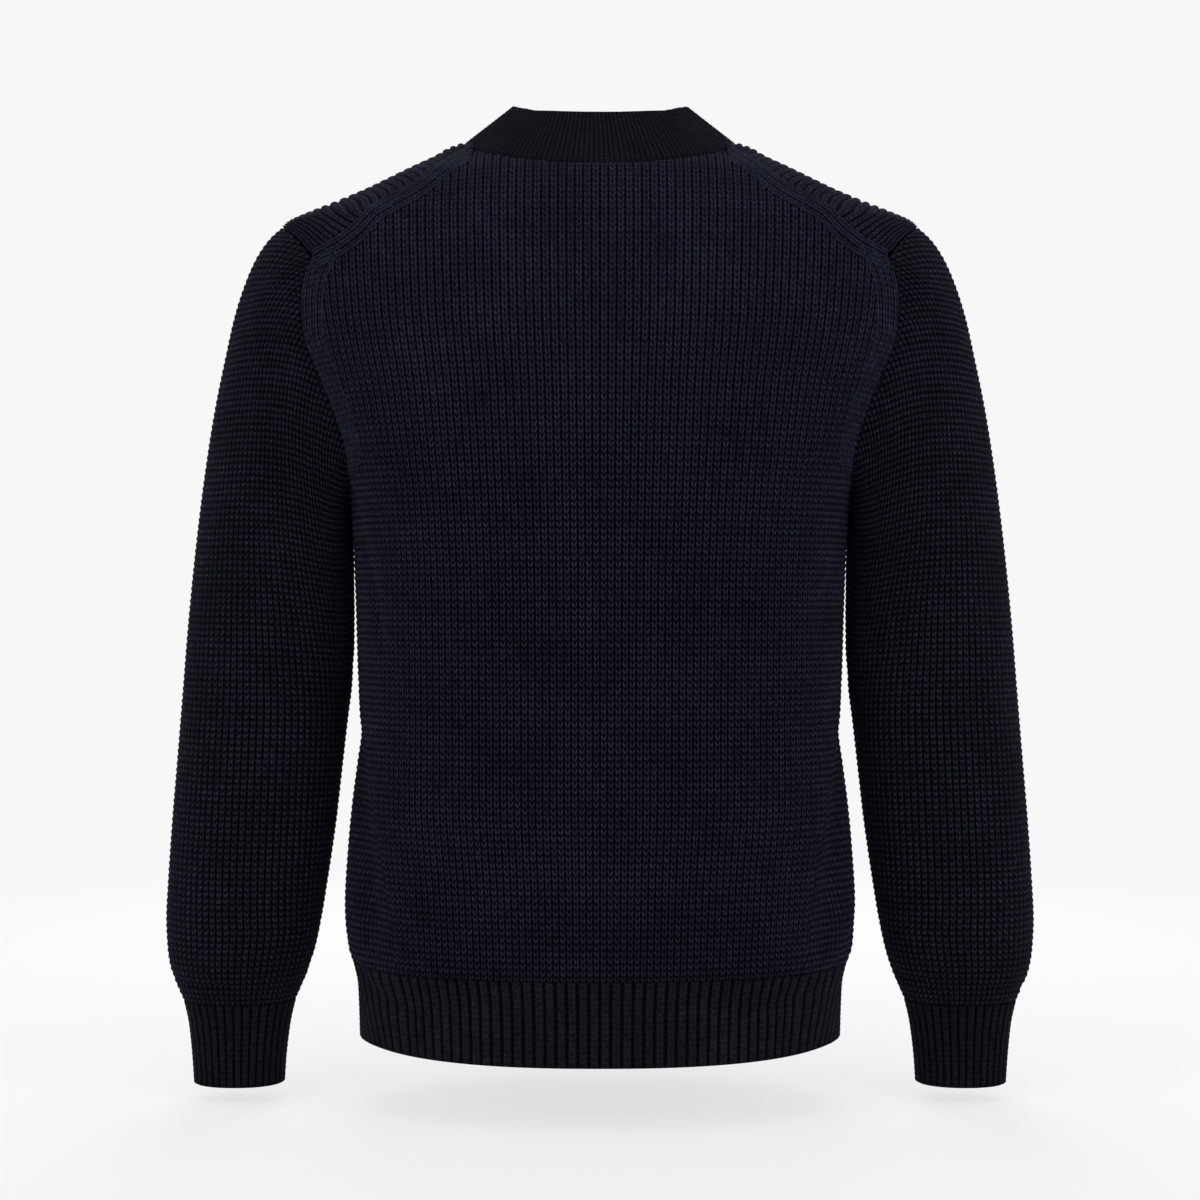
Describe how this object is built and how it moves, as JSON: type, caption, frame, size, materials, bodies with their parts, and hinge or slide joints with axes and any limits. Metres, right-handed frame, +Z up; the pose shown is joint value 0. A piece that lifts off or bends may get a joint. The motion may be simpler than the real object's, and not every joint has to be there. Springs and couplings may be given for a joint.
{
  "type": "knitted jumper",
  "caption": "Long-sleeved chunky knitted jumper with a ribbed stand collar, ribbed hem and ribbed cuffs, filled out as if worn.",
  "frame": {"origin": "middle of the neck opening, level with the sides of the neck", "axes": "+X to the wearer's left, -Y to the front, +Z up to the collar"},
  "size_m": [0.6392, 0.2686, 0.7206],
  "materials": {
    "back_knit": "stocking stitch in navy chunky yarn, matt",
    "front_knit": "stocking stitch in navy chunky yarn, matt",
    "sleeve_knit_left": "stocking stitch in navy chunky yarn, matt",
    "sleeve_knit_right": "stocking stitch in navy chunky yarn, matt",
    "cuff_rib_left": "knitted rib in navy yarn, matt",
    "cuff_rib_right": "knitted rib in navy yarn, matt",
    "hem_rib_back": "knitted rib in navy yarn, matt",
    "hem_rib_front": "knitted rib in navy yarn, matt",
    "collar_rib": "fine knitted rib in navy yarn, matt"
  },
  "bodies": {
    "root": {"back": "back_knit", "front": "front_knit", "sleeve_left": "sleeve_knit_left", "sleeve_right": "sleeve_knit_right", "cuff_left": "cuff_rib_left", "cuff_right": "cuff_rib_right", "hem_back": "hem_rib_back", "hem_front": "hem_rib_front", "collar": "collar_rib"}
  },
  "joints": []
}
